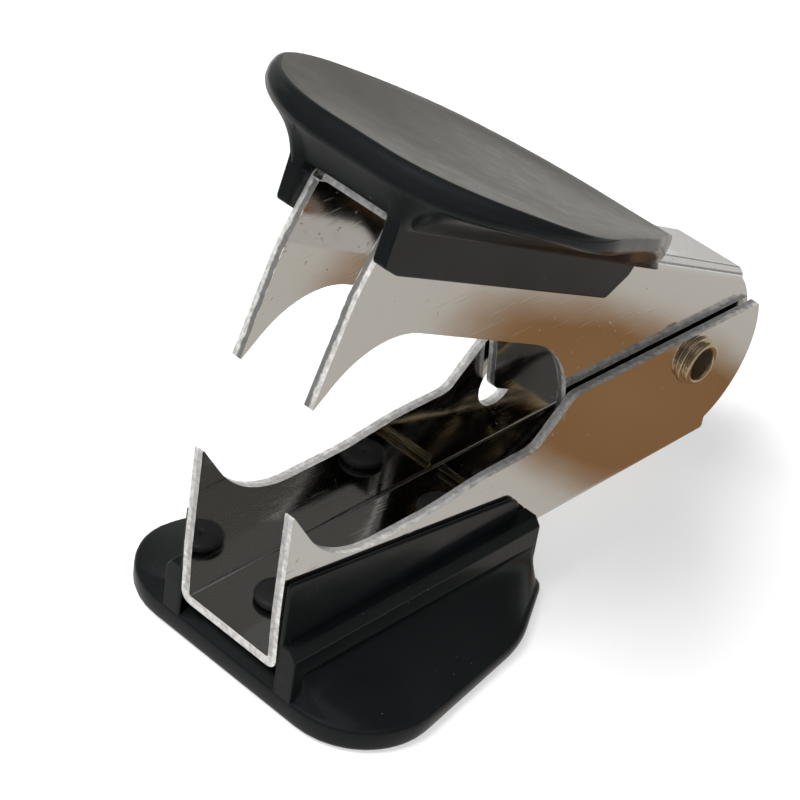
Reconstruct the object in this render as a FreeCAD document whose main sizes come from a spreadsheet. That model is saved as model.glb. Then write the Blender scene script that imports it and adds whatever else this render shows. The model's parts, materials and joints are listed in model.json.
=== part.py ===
import FreeCAD, Part
import math
import os
import Sketcher
from FreeCAD import Vector

# Jaw-type staple remover. Two folded sheet-metal jaws, one nested inside the other, turn on a hollow
# rivet at the rear. A torsion spring around the rivet holds them open. Each jaw carries a moulded grip
# that is staked through its web: a wide base below and a dished thumb pad above.
#
# Millimetres, +Z up. The origin is the centre of the flat underside that rests on a desk; -X is the
# toothed front, +X the rivet end. Each jaw is drawn about its own rivet hole, so its body's origin is
# the pivot and its sketches read directly as distances from the pivot.

DIMENSIONS = {
    # Where things sit.
    "pivot_x": 35.9,
    "pivot_height": 14.4,
    "open_angle": 25.8,
    # Sheet metal shared by both jaws.
    "sheet_gauge": 0.95,
    "bend_outer": 1.1,
    "bend_inner": 0.25,
    "tooth_point": 0.1,
    # Lower jaw, measured from the pivot.
    "lower_width": 11.6,
    "lower_drop": 10.2,
    "lower_reach": 51.8,
    "lower_tip_rise": 6.3,
    "lower_gullet": 1.6,
    "lower_shoulder": 2.8,
    "lower_front_rake": 0.3,
    "lower_front_knee": 6.0,
    "lower_front_bow": 20.0,
    "lower_tooth_length": 5.4,
    "lower_tooth_bow": 10.5,
    "lower_dip_end": 17.6,
    "lower_crest_start": 23.8,
    "lower_crest_end": 30.3,
    "lower_crest_rise": 0.7,
    "lower_edge_bow": 20.0,
    "lower_throat_round": 2.2,
    "shoulder_start": 34.7,
    "shoulder_kick": 0.4,
    "shoulder_round": 1.2,
    "lower_heel_radius": 9.15,
    "lower_floor_end": 3.9,
    "side_hole_radius": 2.5,
    "side_hole_x": 14.7,
    "side_hole_drop": 2.7,
    # Upper jaw, measured from the pivot along and across its web.
    "upper_width": 9.2,
    "upper_rise": 8.9,
    "upper_reach": 52.0,
    "upper_tip_drop": 8.3,
    "upper_gullet": 0.6,
    "upper_web_end": 3.65,
    "upper_front_bulge": 0.65,
    "upper_front_knee": 7.0,
    "upper_front_bow": 12.0,
    "upper_tip_setback": 0.35,
    "upper_tooth_length": 3.9,
    "upper_tooth_bow": 8.9,
    "lobe_x": 14.25,
    "lobe_round": 1.3,
    "lobe_flank_length": 5.25,
    "lobe_flank_bow": 10.5,
    "relief_length": 1.5,
    "relief_width": 0.9,
    # Hollow rivet.
    "rivet_radius": 1.9,
    "rivet_bore_radius": 1.6,
    "rivet_collar_radius": 2.5,
    "rivet_collar_thickness": 0.4,
    "rivet_collar_round": 0.15,
    "rivet_neck_radius": 2.0,
    "rivet_neck_length": 0.2,
    "rivet_neck_round": 0.05,
    "rivet_lip_radius": 2.2,
    "rivet_lip_reach": 1.05,
    "rivet_lip_round": 0.22,
    "rivet_clinch_thickness": 0.7,
    "rivet_clinch_round": 0.3,
    "running_clearance": 0.05,
    # Torsion spring.
    "wire_radius": 0.36,
    "coil_radius": 2.75,
    "coil_turns": 6.3,
    "leg_side": 3.0,
    "leg_bend": 1.0,
    "foot_x": 21.7,
    "head_x": 19.7,
    "foot_clearance": 0.02,
    "head_clearance": 0.05,
    "foot_overhang": 4.1,
    # Stakes that hold the grips on.
    "stake_radius": 1.25,
    "stake_head_radius": 2.05,
    "stake_head_height": 0.9,
    "stake_head_round": 0.3,
    "stake_clearance": 0.05,
    "stake_root": 0.2,
    "lower_stake_front": 45.9,
    "lower_stake_rear": 26.2,
    "upper_stake_front": 46.45,
    "upper_stake_rear": 26.85,
    # Lower grip.
    "base_floor": 4.2,
    "base_front": 51.6,
    "base_rear": 20.8,
    "base_half_width": 17.4,
    "base_knee_x": 28.5,
    "base_knee_half_width": 13.6,
    "base_knee_round": 12.0,
    "base_rear_half_width": 10.0,
    "base_front_round": 7.3,
    "base_rear_round": 2.2,
    "base_edge_round": 0.7,
    "base_rim_height": 1.8,
    "base_tail_height": 1.2,
    "base_tail_slope_start": 36.6,
    "base_wing_top": 0.1,
    "base_wing_cove": 1.2,
    "base_wing_shoulder": 2.6,
    "base_wing_fall": 1.4,
    "base_wing_bow": 6.0,
    "base_cheek": 7.9,
    "base_cheek_chamfer": 0.8,
    "base_cheek_lean": 0.5,
    "base_cheek_root": 0.5,
    "base_ledge": 3.2,
    "base_ledge_end": 21.7,
    "base_skirt": 6.3,
    "base_skirt_front": 9.5,
    "base_skirt_rear": 5.3,
    "base_skirt_end": 23.4,
    "base_skirt_round": 1.6,
    "base_window_half_width": 7.2,
    "base_window_depth": 1.2,
    # Upper grip, measured from the front top edge of the upper jaw's web.
    "pad_front": 4.2,
    "pad_front_corner": 10.0,
    "pad_front_round": 14.6,
    "pad_length": 43.6,
    "pad_half_width": 16.1,
    "pad_widest_x": 7.0,
    "pad_widest_corner": 18.3,
    "pad_widest_round": 10.1,
    "pad_waist_x": 24.7,
    "pad_waist_corner": 12.9,
    "pad_waist_round": 30.0,
    "pad_tail_round": 3.4,
    "pad_rim_top": 5.0,
    "pad_front_dip": 0.6,
    "pad_crest_start": 4.0,
    "pad_crest_bow": 30.0,
    "pad_crest_end": 21.0,
    "pad_crest_fall": 0.1,
    "pad_slope_bow": 50.0,
    "pad_tail_top": 1.4,
    "pad_rim_height": 2.6,
    "pad_brow_end": 0.3,
    "pad_flank_flare": 0.4,
    "pad_flank_rise": 0.2,
    "pad_flank_bow": 3.0,
    "pad_skirt": 6.0,
    "pad_skirt_root": 1.5,
    "pad_skirt_front": 1.75,
    "pad_skirt_front_drop": 3.75,
    "pad_skirt_drop": 4.4,
    "pad_skirt_front_round": 1.2,
    "pad_skirt_heel": 31.5,
    "pad_skirt_heel_drop": 4.0,
    "pad_skirt_heel_round": 1.0,
    "pad_skirt_end": 33.1,
    "pad_skirt_end_drop": 1.6,
}

# Angle between the points the coil's curve is drawn through, in radians.
COIL_STEP = math.pi / 8

doc = FreeCAD.newDocument("staple_remover")


def make_sheet():
    """The driving dimensions, one row each: name in column A, aliased value in column B."""
    sheet = doc.addObject("Spreadsheet::Sheet", "sheet")
    for row, (name, value) in enumerate(DIMENSIONS.items(), start=1):
        sheet.set(f"A{row}", name)
        sheet.set(f"B{row}", str(value))
        sheet.setAlias(f"B{row}", name)
    doc.recompute()
    return sheet


sheet = make_sheet()


def bound(expression):
    """The same expression with every alias prefixed by the sheet's name."""
    words = []
    word = ""
    for letter in str(expression) + " ":
        if letter.isalnum() or letter == "_" or (letter == "." and word[:1].isdigit()):
            word += letter
            continue
        words.append("sheet." + word if word in DIMENSIONS else word)
        words.append(letter)
        word = ""
    return "".join(words).strip()


def value(expression):
    """The number an expression gives now."""
    result = sheet.evalExpression(bound(expression))
    return float(getattr(result, "Value", result))


def make_body(name):
    body = doc.addObject("PartDesign::Body", name)
    body.Label = name
    doc.recompute()
    return body


def plane_of(body, role):
    return next(item for item in body.Origin.OriginFeatures if item.Role == role)


def make_sketch(body, name, role, offset=None):
    """An empty sketch on one of the body's own planes, moved off it by an expression if one is given."""
    sketch = body.newObject("Sketcher::SketchObject", name)
    sketch.AttachmentSupport = [(plane_of(body, role), "")]
    sketch.MapMode = "FlatFace"
    if offset is not None:
        sketch.setExpression("AttachmentOffset.Base.z", bound(offset))
    doc.recompute()
    return sketch


def pin(sketch, element, point, x, y):
    """Fix a point at distances from the sketch's origin; None leaves that direction free."""
    if x is not None:
        row = sketch.addConstraint(Sketcher.Constraint("DistanceX", -1, 1, element, point, value(x)))
        sketch.setExpression(f"Constraints[{row}]", bound(x))
    if y is not None:
        row = sketch.addConstraint(Sketcher.Constraint("DistanceY", -1, 1, element, point, value(y)))
        sketch.setExpression(f"Constraints[{row}]", bound(y))


def outline(sketch, corners, heel=None):
    """A closed outline through corners (x, y, round), each an expression; round is None when sharp.

    heel is the index of a corner from which the edge to the next corner is an arc about the sketch's
    origin. The arc fixes one direction of both of its ends, so each of those two corners is pinned
    only in y if its fourth item is "y", or only in x if it is "x".
    """
    count = len(corners)
    sharp = [Vector(value(corner[0]), value(corner[1]), 0) for corner in corners]
    rounds = [value(corner[2]) if corner[2] is not None else 0.0 for corner in corners]
    start, end, centre = [], [], []
    for i in range(count):
        here = sharp[i]
        to_last = (sharp[i - 1] - here).normalize()
        to_next = (sharp[(i + 1) % count] - here).normalize()
        half = to_last.getAngle(to_next) / 2
        reach = rounds[i] / math.tan(half)
        start.append(here + to_last * reach)
        end.append(here + to_next * reach)
        middle = (to_last + to_next).normalize()
        centre.append(here + middle * (rounds[i] / math.sin(half)))
    sides = []
    for i in range(count):
        after = (i + 1) % count
        if i == heel:
            first = math.atan2(end[i].y, end[i].x)
            last = math.atan2(start[after].y, start[after].x)
            backwards = (last - first) % (2 * math.pi) > math.pi
            span = (last, first) if backwards else (first, last)
            circle = Part.Circle(Vector(0, 0, 0), Vector(0, 0, 1), end[i].Length)
            side = sketch.addGeometry(Part.ArcOfCircle(circle, *span), False)
            sketch.addConstraint(Sketcher.Constraint("Coincident", side, 3, -1, 1))
            sides.append((side, 2, 1) if backwards else (side, 1, 2))
        else:
            side = sketch.addGeometry(Part.LineSegment(end[i], start[after]), False)
            sides.append((side, 1, 2))
    for i in range(count):
        x, y, bend = corners[i][:3]
        side_in, _, last_point = sides[i - 1]
        side_out, first_point, _ = sides[i]
        if bend is None:
            join = Sketcher.Constraint("Coincident", side_in, last_point, side_out, first_point)
            sketch.addConstraint(join)
            only = corners[i][3] if len(corners[i]) > 3 else "xy"
            pin(sketch, side_out, first_point, x if "x" in only else None, y if "y" in only else None)
            continue
        first = math.atan2(start[i].y - centre[i].y, start[i].x - centre[i].x)
        last = math.atan2(end[i].y - centre[i].y, end[i].x - centre[i].x)
        backwards = (last - first) % (2 * math.pi) > math.pi
        span = (last, first) if backwards else (first, last)
        circle = Part.Circle(centre[i], Vector(0, 0, 1), rounds[i])
        arc = sketch.addGeometry(Part.ArcOfCircle(circle, *span), False)
        arc_in, arc_out = (2, 1) if backwards else (1, 2)
        sketch.addConstraint(Sketcher.Constraint("Tangent", side_in, last_point, arc, arc_in))
        sketch.addConstraint(Sketcher.Constraint("Tangent", arc, arc_out, side_out, first_point))
        corner = sketch.addGeometry(Part.Point(sharp[i]), True)
        sketch.addConstraint(Sketcher.Constraint("PointOnObject", corner, 1, side_in))
        sketch.addConstraint(Sketcher.Constraint("PointOnObject", corner, 1, side_out))
        pin(sketch, corner, 1, x, y)
        row = sketch.addConstraint(Sketcher.Constraint("Radius", arc, rounds[i]))
        sketch.setExpression(f"Constraints[{row}]", bound(bend))


def add_circle(sketch, x, y, radius):
    spot = Part.Circle(Vector(value(x), value(y), 0), Vector(0, 0, 1), value(radius))
    ring = sketch.addGeometry(spot, False)
    pin(sketch, ring, 3, x, y)
    row = sketch.addConstraint(Sketcher.Constraint("Radius", ring, value(radius)))
    sketch.setExpression(f"Constraints[{row}]", bound(radius))


def box(sketch, low_x, low_y, high_x, high_y):
    outline(sketch, [
        (low_x, low_y, None),
        (high_x, low_y, None),
        (high_x, high_y, None),
        (low_x, high_y, None),
    ])


def pad(body, name, sketch, length, both_ways=False, down=False):
    """Add material from a sketch: half the length to each side, or all of it to one side."""
    feature = body.newObject("PartDesign::Pad", name)
    feature.Profile = sketch
    feature.SideType = "Symmetric" if both_ways else "One side"
    feature.setExpression("Length", bound(length))
    feature.Reversed = down
    doc.recompute()
    return feature


def pocket(body, name, sketch, length, both_ways=False, away=False):
    """Remove material with a sketch, and stop if nothing was removed."""
    before = body.Shape.Volume
    feature = body.newObject("PartDesign::Pocket", name)
    feature.Profile = sketch
    feature.SideType = "Symmetric" if both_ways else "One side"
    feature.setExpression("Length", bound(length))
    feature.Reversed = away
    doc.recompute()
    if body.Shape.Volume >= before:
        raise RuntimeError(f"{name} removed nothing")
    return feature


def edges_where(body, test):
    """Names of the body's edges whose two ends and middle all pass the test."""
    names = []
    for number, edge in enumerate(body.Shape.Edges, start=1):
        middle = edge.valueAt((edge.FirstParameter + edge.LastParameter) / 2)
        points = [vertex.Point for vertex in edge.Vertexes] + [middle]
        if all(test(point) for point in points):
            names.append(f"Edge{number}")
    return names


def fillet(body, name, radius, test):
    """Round the edges that pass a test on their points, given in the body's own axes."""
    tip = body.Tip
    names = edges_where(body, test)
    if not names:
        raise RuntimeError(f"{name} found no edges")
    feature = body.newObject("PartDesign::Fillet", name)
    feature.Base = (tip, names)
    feature.setExpression("Radius", bound(radius))
    doc.recompute()
    return feature


def near(number, expression, within=0.02):
    return abs(number - value(expression)) < within


def place(body, x, z, angle=None):
    """Put a body in the assembly with expressions; an angle tips its -X end up about Y."""
    body.setExpression("Placement.Base.x", bound(x))
    body.setExpression("Placement.Base.z", bound(z))
    if angle is not None:
        body.Placement = FreeCAD.Placement(Vector(0, 0, 0), FreeCAD.Rotation(Vector(0, 1, 0), 1.0))
        body.setExpression("Placement.Rotation.Angle", bound(angle))
    doc.recompute()


def make_lower_jaw():
    """The outer jaw: a channel that opens upwards, with a tooth at the front of each wall."""
    body = make_body("lower_jaw")
    side = make_sketch(body, "lower_side", "XZ_Plane")
    outline(side, [
        ("-lower_reach + lower_front_rake", "-lower_drop", None),
        ("-lower_reach", "-lower_drop + lower_front_knee", "lower_front_bow"),
        ("-lower_reach", "lower_tip_rise", "tooth_point"),
        ("-lower_reach + lower_tooth_length", "-lower_gullet", "lower_tooth_bow"),
        ("-lower_reach + lower_dip_end", "-lower_gullet", "lower_edge_bow"),
        ("-lower_reach + lower_crest_start", "-lower_gullet + lower_crest_rise", "lower_edge_bow"),
        ("-lower_reach + lower_crest_end", "-lower_gullet + lower_crest_rise", "lower_throat_round"),
        ("-lower_reach + shoulder_start", "lower_shoulder + shoulder_kick", "shoulder_round"),
        ("sqrt(lower_heel_radius^2 - lower_shoulder^2)", "lower_shoulder", None, "y"),
        ("lower_floor_end", "-sqrt(lower_heel_radius^2 - lower_floor_end^2)", None, "x"),
        ("lower_floor_end", "-lower_drop", None),
    ], heel=8)
    pad(body, "lower_blank", side, "lower_width", both_ways=True)
    fillet(body, "lower_outer_bends", "bend_outer",
           lambda p: near(p.z, "-lower_drop") and near(abs(p.y), "lower_width / 2"))
    channel = make_sketch(body, "lower_channel_side", "XZ_Plane")
    box(channel, "-lower_reach - 1", "-lower_drop + sheet_gauge",
        "lower_heel_radius + 1", "lower_tip_rise + 1")
    pocket(body, "lower_channel", channel, "lower_width - 2 * sheet_gauge", both_ways=True)
    fillet(body, "lower_inner_bends", "bend_inner",
           lambda p: (near(p.z, "-lower_drop + sheet_gauge")
                      and near(abs(p.y), "lower_width / 2 - sheet_gauge")))
    holes = make_sketch(body, "lower_rivet_hole", "XZ_Plane")
    add_circle(holes, "0", "0", "rivet_radius")
    pocket(body, "lower_rivet_holes", holes, "lower_width + 2", both_ways=True)
    side_hole = make_sketch(body, "lower_side_hole_ring", "XZ_Plane")
    add_circle(side_hole, "-side_hole_x", "-side_hole_drop", "side_hole_radius")
    pocket(body, "lower_side_hole", side_hole, "lower_width")
    stakes = make_sketch(body, "lower_stake_rings", "XY_Plane")
    for station in ("lower_stake_front", "lower_stake_rear"):
        add_circle(stakes, "-" + station, "0", "stake_radius + stake_clearance")
    pocket(body, "lower_stake_holes", stakes, "2 * lower_drop + 2", both_ways=True)
    place(body, "pivot_x", "pivot_height")
    return body


def make_upper_jaw():
    """The inner jaw: a channel that opens downwards and nests between the lower jaw's walls."""
    body = make_body("upper_jaw")
    side = make_sketch(body, "upper_side", "XZ_Plane")
    outline(side, [
        ("-upper_reach", "upper_rise", None),
        ("upper_web_end", "upper_rise", None),
        ("upper_web_end", "sqrt(upper_rise^2 - upper_web_end^2)", None, "x"),
        ("0", "-upper_rise", None, "x"),
        ("-lobe_x", "-upper_rise", "lobe_round"),
        ("-lobe_x - lobe_flank_length", "-upper_gullet", "lobe_flank_bow"),
        ("-upper_reach + upper_tooth_length", "-upper_gullet", "upper_tooth_bow"),
        ("-upper_reach + upper_tip_setback", "-upper_tip_drop", "tooth_point"),
        ("-upper_reach - upper_front_bulge", "upper_rise - upper_front_knee", "upper_front_bow"),
    ], heel=2)
    pad(body, "upper_blank", side, "upper_width", both_ways=True)
    fillet(body, "upper_outer_bends", "bend_outer",
           lambda p: near(p.z, "upper_rise") and near(abs(p.y), "upper_width / 2"))
    channel = make_sketch(body, "upper_channel_side", "XZ_Plane")
    box(channel, "-upper_reach - 2", "-upper_rise - 1", "upper_rise + 1", "upper_rise - sheet_gauge")
    pocket(body, "upper_channel", channel, "upper_width - 2 * sheet_gauge", both_ways=True)
    fillet(body, "upper_inner_bends", "bend_inner",
           lambda p: (near(p.z, "upper_rise - sheet_gauge")
                      and near(abs(p.y), "upper_width / 2 - sheet_gauge")))
    holes = make_sketch(body, "upper_rivet_hole", "XZ_Plane")
    add_circle(holes, "0", "0", "rivet_radius + running_clearance")
    pocket(body, "upper_rivet_holes", holes, "upper_width + 2", both_ways=True)
    stakes = make_sketch(body, "upper_stake_rings", "XY_Plane")
    for station in ("upper_stake_front", "upper_stake_rear"):
        add_circle(stakes, "-" + station, "0", "stake_radius + stake_clearance")
    pocket(body, "upper_stake_holes", stakes, "2 * upper_rise + 2", both_ways=True)
    reliefs = make_sketch(body, "upper_relief_slots", "XY_Plane", offset="upper_rise")
    for hand in ("", "-"):
        inner = hand + "(upper_width / 2 - bend_outer)"
        outer = hand + "(upper_width / 2 - bend_outer + relief_width)"
        box(reliefs, "-upper_reach - 1", inner, "-upper_reach + relief_length", outer)
    pocket(body, "upper_relief", reliefs, "2 * bend_outer", both_ways=True)
    place(body, "pivot_x", "pivot_height", "open_angle")
    return body


def make_pivot_rivet():
    """A hollow rivet: a collar and rolled lip on one side, clinched flat on the other."""
    body = make_body("pivot_rivet")
    wall = "lower_width / 2"
    section = make_sketch(body, "rivet_section", "XY_Plane")
    outline(section, [
        ("rivet_bore_radius", f"-{wall} - rivet_lip_reach", "rivet_lip_round"),
        ("rivet_lip_radius", f"-{wall} - rivet_lip_reach", "rivet_lip_round"),
        ("rivet_lip_radius", f"-{wall} - rivet_collar_thickness - rivet_neck_length", "rivet_neck_round"),
        ("rivet_neck_radius", f"-{wall} - rivet_collar_thickness", "rivet_neck_round"),
        ("rivet_collar_radius", f"-{wall} - rivet_collar_thickness", "rivet_collar_round"),
        ("rivet_collar_radius", f"-{wall}", None),
        ("rivet_radius", f"-{wall}", None),
        ("rivet_radius", wall, None),
        ("rivet_collar_radius", wall, None),
        ("rivet_collar_radius", f"{wall} + rivet_clinch_thickness", "rivet_clinch_round"),
        ("rivet_bore_radius", f"{wall} + rivet_clinch_thickness", "rivet_clinch_round"),
    ])
    turn = body.newObject("PartDesign::Revolution", "rivet_turned")
    turn.Profile = section
    turn.ReferenceAxis = (section, ["V_Axis"])
    turn.Angle = 360
    place(body, "pivot_x", "pivot_height")
    return body


def stake_pads(body, stations, root, web_far_side, upwards):
    """Two stakes that pass through a web and spread into mushroom heads beyond it."""
    for number, station in enumerate(stations, start=1):
        shank = make_sketch(body, f"{body.Label}_shank_{number}", "XY_Plane", offset=root)
        add_circle(shank, station, "0", "stake_radius")
        pad(body, f"{body.Label}_stake_{number}", shank, "sheet_gauge + stake_root", down=not upwards)
        head = make_sketch(body, f"{body.Label}_head_ring_{number}", "XY_Plane", offset=web_far_side)
        add_circle(head, station, "0", "stake_head_radius")
        pad(body, f"{body.Label}_head_{number}", head, "stake_head_height", down=not upwards)
    crown = f"{web_far_side} {'+' if upwards else '-'} stake_head_height"
    fillet(body, f"{body.Label}_head_rounds", "stake_head_round",
           lambda p: near(p.z, crown) and abs(p.y) < value("stake_head_radius") + 0.1)


def make_lower_grip():
    """The base: a wide foot under the lower jaw, with cheeks and thin skirts up its walls."""
    body = make_body("lower_grip")
    plan = make_sketch(body, "base_plan", "XY_Plane")
    half = [
        ("-base_front", "base_half_width", "base_front_round"),
        ("-base_knee_x", "base_knee_half_width", "base_knee_round"),
        ("-base_rear", "base_rear_half_width", "base_rear_round"),
    ]
    mirrored = [(x, "-" + y, bend) for x, y, bend in reversed(half)]
    outline(plan, half + mirrored)
    pad(body, "base_foot", plan, "base_floor", down=True)
    fillet(body, "base_rim_round", "base_edge_round",
           lambda p: near(p.z, "0") or near(p.z, "-base_floor"))
    wings = make_sketch(body, "base_wing_section", "YZ_Plane")
    for hand in ("", "-"):
        outline(wings, [
            (hand + "base_cheek", "1", None),
            (hand + "base_cheek", "-base_wing_top", "base_wing_cove"),
            (hand + "(base_cheek + base_wing_shoulder)", "-base_wing_fall", "base_wing_bow"),
            (hand + "(base_half_width + 1)", "-base_floor + base_rim_height - 0.3", None),
            (hand + "(base_half_width + 1)", "1", None),
        ])
    pocket(body, "base_wings", wings, "2 * base_front + 2", both_ways=True)
    tail = make_sketch(body, "base_tail_side", "XZ_Plane")
    outline(tail, [
        ("-base_tail_slope_start", "base_cheek_root", None),
        ("-base_rear", "-base_floor + base_tail_height", None),
        ("-base_rear + 1", "-base_floor + base_tail_height", None),
        ("-base_rear + 1", "base_cheek_root", None),
    ])
    pocket(body, "base_tail_slope", tail, "2 * base_half_width", both_ways=True)
    cheeks = make_sketch(body, "base_cheek_section", "YZ_Plane", offset="-base_front")
    outline(cheeks, [
        ("-base_cheek", "-base_floor + base_cheek_root", None),
        ("-base_cheek", "base_ledge - base_cheek_chamfer", None),
        ("-base_cheek + base_cheek_lean", "base_ledge", None),
        ("base_cheek - base_cheek_lean", "base_ledge", None),
        ("base_cheek", "base_ledge - base_cheek_chamfer", None),
        ("base_cheek", "-base_floor + base_cheek_root", None),
    ])
    pad(body, "base_cheeks", cheeks, "base_front - base_ledge_end")
    skirts = make_sketch(body, "base_skirt_side", "XZ_Plane")
    outline(skirts, [
        ("-base_front", "0", None),
        ("-base_front", "base_skirt_front", None),
        ("-base_skirt_end", "base_skirt_rear", "base_skirt_round"),
        ("-base_skirt_end", "0", None),
    ])
    pad(body, "base_skirts", skirts, "2 * base_skirt", both_ways=True)
    seat = make_sketch(body, "base_seat_side", "XZ_Plane")
    box(seat, "-base_front - 1", "0", "0", "base_skirt_front + 1")
    pocket(body, "base_seat", seat, "lower_width", both_ways=True)
    window = make_sketch(body, "base_window_plan", "XY_Plane", offset="-base_floor + base_rim_height")
    box(window, "-base_front - 1", "-base_window_half_width", "-base_front + base_window_depth",
        "base_window_half_width")
    pocket(body, "base_window", window, "base_floor + base_ledge", away=True)
    stake_pads(body, ("-lower_stake_front", "-lower_stake_rear"),
               "-stake_root", "sheet_gauge", upwards=True)
    place(body, "pivot_x", "base_floor")
    return body


def make_upper_grip():
    """The thumb pad: a dished teardrop on top of the upper jaw, flanked by skirts down its walls."""
    body = make_body("upper_grip")
    plan = make_sketch(body, "pad_plan", "XY_Plane")
    half = [
        ("-pad_front", "pad_front_corner", "pad_front_round"),
        ("pad_widest_x", "pad_widest_corner", "pad_widest_round"),
        ("pad_waist_x", "pad_waist_corner", "pad_waist_round"),
        ("pad_length", "pad_tail_round", "pad_tail_round"),
    ]
    mirrored = [(x, "-" + y, bend) for x, y, bend in reversed(half)]
    outline(plan, half + mirrored)
    pad(body, "pad_blank", plan, "pad_rim_top + 2")
    top = make_sketch(body, "pad_top_side", "XZ_Plane")
    outline(top, [
        ("-pad_front - 1", "pad_rim_top - pad_front_dip", None),
        ("pad_crest_start", "pad_rim_top", "pad_crest_bow"),
        ("pad_crest_end", "pad_rim_top - pad_crest_fall", "pad_slope_bow"),
        ("pad_length + 1", "pad_tail_top", None),
        ("pad_length + 1", "pad_rim_top + 3", None),
        ("-pad_front - 1", "pad_rim_top + 3", None),
    ])
    pocket(body, "pad_top_trim", top, "2 * pad_half_width + 4", both_ways=True)
    flanks = make_sketch(body, "pad_flank_section", "YZ_Plane")
    for hand in ("", "-"):
        outline(flanks, [
            (hand + "pad_skirt", "-1", None),
            (hand + "(pad_skirt + pad_flank_flare)", "pad_flank_rise", "pad_flank_bow"),
            (hand + "(pad_half_width + 3)", "pad_rim_top - pad_rim_height", None),
            (hand + "(pad_half_width + 3)", "-1", None),
        ])
    pocket(body, "pad_flanks", flanks, "2 * pad_length + 8", both_ways=True)
    brow = make_sketch(body, "pad_brow_side", "XZ_Plane")
    outline(brow, [
        ("-pad_front - 1", "-1", None),
        ("pad_brow_end", "-1", None),
        ("pad_brow_end", "0", None),
        ("-pad_front", "pad_rim_top - pad_rim_height", None),
        ("-pad_front - 1", "pad_rim_top - pad_rim_height", None),
    ])
    pocket(body, "pad_brow", brow, "2 * pad_half_width", both_ways=True)
    skirts = make_sketch(body, "pad_skirt_side", "XZ_Plane")
    outline(skirts, [
        ("-pad_skirt_front", "pad_skirt_root", None),
        ("-pad_skirt_front", "-pad_skirt_front_drop", None),
        ("0.5 * pad_skirt_front", "-pad_skirt_drop", "pad_skirt_front_round"),
        ("pad_skirt_heel", "-pad_skirt_heel_drop", "pad_skirt_heel_round"),
        ("pad_skirt_end", "-pad_skirt_end_drop", "pad_skirt_heel_round"),
        ("pad_skirt_end + 1", "pad_skirt_root", None),
    ])
    pad(body, "pad_skirts", skirts, "2 * pad_skirt", both_ways=True)
    seat = make_sketch(body, "pad_seat_side", "XZ_Plane")
    box(seat, "-pad_front - 1", "-pad_skirt_drop - 1", "pad_length + 1", "0")
    pocket(body, "pad_seat_channel", seat, "upper_width", both_ways=True)
    stake_pads(body, ("upper_reach - upper_stake_front", "upper_reach - upper_stake_rear"),
               "stake_root", "-sheet_gauge", upwards=False)
    place(body,
          "pivot_x - upper_reach * cos(open_angle * 1deg) + upper_rise * sin(open_angle * 1deg)",
          "pivot_height + upper_reach * sin(open_angle * 1deg) + upper_rise * cos(open_angle * 1deg)",
          "open_angle")
    return body


def arc_through(corner, before, after, radius):
    """The start, middle and end of an arc that rounds a corner between two directions."""
    back = (before - corner).normalize()
    ahead = (after - corner).normalize()
    half = back.getAngle(ahead) / 2
    reach = radius / math.tan(half)
    middle_way = (back + ahead).normalize()
    centre = corner + middle_way * (radius / math.sin(half))
    return corner + back * reach, centre - middle_way * radius, corner + ahead * reach


def rounded_path(points, radius):
    """Straight edges through points with every inner corner rounded."""
    edges = []
    last = points[0]
    for corner, after in zip(points[1:-1], points[2:]):
        start, middle, end = arc_through(corner, last, after, radius)
        edges.append(Part.LineSegment(last, start).toShape())
        edges.append(Part.Arc(start, middle, end).toShape())
        last = end
    edges.append(Part.LineSegment(last, points[-1]).toShape())
    return edges


def make_torsion_spring():
    """A round wire coiled about the rivet; one leg's foot lies on the lower floor, the other's lifts
    the upper web. Positions are relative to the pivot."""
    coil = value("coil_radius")
    wire = value("wire_radius")
    leg_side = value("leg_side")
    bend = value("leg_bend")
    turns = value("coil_turns")
    foot = Vector(-value("foot_x"), 0, value("sheet_gauge - lower_drop + foot_clearance") + wire)
    head = Vector(-value("head_x"), 0, value("upper_rise - sheet_gauge - head_clearance") - wire)
    head = FreeCAD.Rotation(Vector(0, 1, 0), value("open_angle")).multVec(head)

    def tangent_angle(point, below):
        """Where a straight leg from point meets the coil, as an angle about the rivet."""
        away = math.atan2(point.z, point.x)
        spread = math.acos(coil / point.Length)
        return away + spread if below else away - spread

    first = tangent_angle(foot, below=True)
    last = tangent_angle(head, below=False)
    sweep = last - first
    while sweep < (turns - 0.5) * 2 * math.pi:
        sweep += 2 * math.pi

    steps = int(sweep / COIL_STEP)
    coil_points = []
    for step in range(steps + 1):
        share = step / steps
        angle = first + sweep * share
        y = leg_side * (2 * share - 1)
        coil_points.append(Vector(coil * math.cos(angle), y, coil * math.sin(angle)))

    near_leg = [
        Vector(foot.x, value("foot_overhang"), foot.z),
        Vector(foot.x, -leg_side, foot.z),
        coil_points[0],
    ]
    far_leg = [
        coil_points[-1],
        Vector(head.x, leg_side, head.z),
        Vector(head.x, -leg_side, head.z),
    ]
    curve = Part.BSplineCurve()
    lead_in = (near_leg[2] - near_leg[1]).normalize()
    lead_out = (far_leg[1] - far_leg[0]).normalize()
    curve.interpolate(Points=coil_points, InitialTangent=lead_in, FinalTangent=lead_out)
    path = Part.Wire(rounded_path(near_leg, bend) + [curve.toShape()] + rounded_path(far_leg, bend))
    ring = Part.Circle(near_leg[0], Vector(0, 1, 0), wire)
    shape = path.makePipeShell([Part.Wire(ring.toShape())], True, False)
    spring = doc.addObject("Part::Feature", "torsion_spring")
    spring.Label = "torsion_spring"
    spring.Shape = shape
    pivot = Vector(value("pivot_x"), 0, value("pivot_height"))
    spring.Placement = FreeCAD.Placement(pivot, FreeCAD.Rotation())
    return spring


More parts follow.
